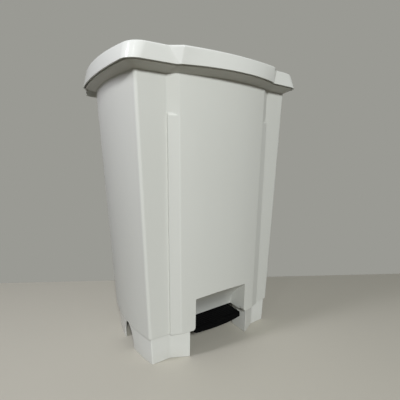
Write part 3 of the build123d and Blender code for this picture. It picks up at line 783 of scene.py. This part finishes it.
class CAN_OT_stage(bpy.types.Operator):
    """Lay the floor, hang the lamps and set the camera"""

    bl_idname = "can.stage"
    bl_label = "Stage"

    def execute(self, context):
        stage = context.scene.can_stage
        self.lay_floor(context, stage)
        self.light(context, stage)
        self.set_camera(context)
        context.scene.view_settings.view_transform = "Standard"
        return {"FINISHED"}

    def seen(self, tree):
        """1 for what the camera sees, straight, in a reflection or through something clear."""
        path = add(tree, "ShaderNodeLightPath").outputs
        mirrored = add(
            tree, "ShaderNodeMath", {"operation": "MAXIMUM"},
            {0: path["Is Camera Ray"], 1: path["Is Glossy Ray"]},
        )
        shown = add(
            tree, "ShaderNodeMath", {"operation": "MAXIMUM"},
            {0: mirrored.outputs[0], 1: path["Is Transmission Ray"]},
        )
        return shown.outputs[0]

    def lay_floor(self, context, stage):
        """A floor that ends in a straight line behind the can, and throws more light back near its base."""
        along = Vector((0.854, -0.520, 0))
        back = Vector((0.520, 0.854, 0))
        end = 0.296                   # distance of the floor's end from the origin
        reach = 6                     # distance of its other sides
        bright_middle = (-0.15, 0, 0)
        bright_radius = 0.25
        bright_end = 0.6              # radius at which the brighter part has faded out
        bright_share = 0.45           # part of the seen colour that throws light back there
        outline = ((end, -reach), (-reach, -reach), (-reach, reach), (end, reach))
        corners = [back * depth + along * side for depth, side in outline]
        mesh = bpy.data.meshes.new("floor")
        mesh.from_pydata(corners, [], [(0, 1, 2, 3)])
        floor = bpy.data.objects.new("floor", mesh)
        context.scene.collection.objects.link(floor)
        made, tree, shader, coords = material("matt_floor")
        apart = add(tree, "ShaderNodeVectorMath", {"operation": "DISTANCE"}, {0: coords, 1: bright_middle})
        near = add(
            tree, "ShaderNodeMapRange",
            sockets={
                "Value": apart.outputs["Value"], "From Min": bright_radius, "From Max": bright_end,
                "To Min": bright_share, "To Max": 0,
            },
        )
        pale = add(
            tree, "ShaderNodeMath", {"operation": "MAXIMUM"}, {0: self.seen(tree), 1: near.outputs[0]}
        )
        tone = add(
            tree, "ShaderNodeMix", {"data_type": "RGBA"},
            {SHARE: pale.outputs[0], FIRST: stage.floor_bounce, SECOND: stage.floor},
        )
        tree.links.new(tone.outputs[MIXED], shader.inputs["Base Color"])
        shader.inputs["Roughness"].default_value = 0.6
        mesh.materials.append(made)

    def light(self, context, stage):
        """Even light, stronger from the back and right, with a lamp at the left, one high behind the camera
        and a tall one for streaks on the lid."""
        back_right = (0.64, 0.77, 0)
        stronger_from, strongest_from = 0.1, 0.8   # how far a way points to the back and right
        middle = Vector((0, 0, 0.35))
        # Name, azimuth and elevation in degrees, distance, width and height, power and tint.
        lamps = (
            ("key", -90, 42.6, 1.7, (0.2, 0.5), stage.key_power, (0.92, 0.92, 1.0)),
            ("front", -22, 29, 4.2, (0.45, 0.45), stage.front_power, (0.975, 1.0, 0.995)),
            ("strip", -53, 40, 1.9, (0.08, 1.2), stage.strip_power, (1.0, 1.0, 1.0)),
        )
        world = bpy.data.worlds.new("even_light")
        context.scene.world = world
        world.use_nodes = True
        tree = world.node_tree
        tree.nodes.clear()
        way = add(tree, "ShaderNodeTexCoord").outputs["Generated"]
        behind = add(tree, "ShaderNodeVectorMath", {"operation": "DOT_PRODUCT"}, {0: way, 1: back_right})
        brightness = add(
            tree, "ShaderNodeMapRange",
            sockets={
                "Value": behind.outputs["Value"], "From Min": stronger_from, "From Max": strongest_from,
                "To Min": stage.ambient, "To Max": stage.back_light,
            },
        )
        even = add(
            tree, "ShaderNodeBackground",
            sockets={"Color": (1, 1, 1, 1), "Strength": brightness.outputs["Result"]},
        )
        backdrop = add(tree, "ShaderNodeBackground", sockets={"Color": stage.background})
        sky = add(
            tree, "ShaderNodeMixShader",
            sockets={0: self.seen(tree), 1: even.outputs[0], 2: backdrop.outputs[0]},
        )
        add(tree, "ShaderNodeOutputWorld", sockets={"Surface": sky.outputs[0]})
        for name, azimuth, elevation, distance, size, watts, tint in lamps:
            lamp = bpy.data.lights.new(name, "AREA")
            lamp.shape = "RECTANGLE"
            lamp.size, lamp.size_y = size
            lamp.energy = watts
            lamp.color = tint
            away = way_to(azimuth, elevation)
            holder = bpy.data.objects.new(name, lamp)
            holder.location = middle + away * distance
            holder.rotation_euler = away.to_track_quat("Z", "Y").to_euler()
            context.scene.collection.objects.link(holder)

    def set_camera(self, context):
        """The photograph's view, in the same frame as the solids, with focal length and centre in pixels."""
        eye = Vector((-430.17, -709.49, 473.70)) * MM
        azimuth, elevation = -35.11, 5.87
        roll = math.radians(0.17)
        focal, centre_x, centre_y = 301.37, 211.66, 186.48
        away = way_to(azimuth, elevation)
        level = way_to(azimuth + 90, 0)
        rise = away.cross(level)
        right = level * math.cos(roll) + rise * math.sin(roll)
        up = rise * math.cos(roll) - level * math.sin(roll)
        lens = bpy.data.cameras.new("camera")
        lens.sensor_width = 36
        lens.lens = focal / PIXELS * lens.sensor_width
        lens.shift_x = (PIXELS / 2 - centre_x) / PIXELS
        lens.shift_y = (centre_y - PIXELS / 2) / PIXELS
        lens.clip_start = 0.01
        camera = bpy.data.objects.new("camera", lens)
        view = Matrix((right, up, away)).transposed().to_4x4()
        view.translation = eye
        camera.matrix_world = view
        context.scene.collection.objects.link(camera)
        context.scene.camera = camera


PIECES = (CAN_OT_shells, CAN_OT_tread, CAN_OT_linkage, CAN_OT_fasteners, CAN_OT_bearings, CAN_OT_stage)


class VIEW3D_PT_can(bpy.types.Panel):
    """Sizes, colours and steps of the can"""

    bl_label = "Pedal trash can"
    bl_space_type = "VIEW_3D"
    bl_region_type = "UI"
    bl_category = "Trash can"

    def draw(self, context):
        for operator in PIECES:
            self.layout.operator(operator.bl_idname)
        for group in (context.scene.can_sizes, context.scene.can_finish, context.scene.can_stage):
            column = self.layout.column()
            for name in group.__annotations__:
                column.prop(group, name)


GROUPS = {"can_finish": CanFinish, "can_sizes": CanSizes, "can_stage": CanStage}


def register():
    for name, group in GROUPS.items():
        bpy.utils.register_class(group)
        setattr(bpy.types.Scene, name, PointerProperty(type=group))
    for item in (*PIECES, VIEW3D_PT_can):
        bpy.utils.register_class(item)


def unregister():
    for item in (VIEW3D_PT_can, *reversed(PIECES)):
        bpy.utils.unregister_class(item)
    for name, group in GROUPS.items():
        delattr(bpy.types.Scene, name)
        bpy.utils.unregister_class(group)


def main():
    register()
    for operator in PIECES:
        family, step = operator.bl_idname.split(".")
        getattr(getattr(bpy.ops, family), step)()


if __name__ == "__main__":
    main()
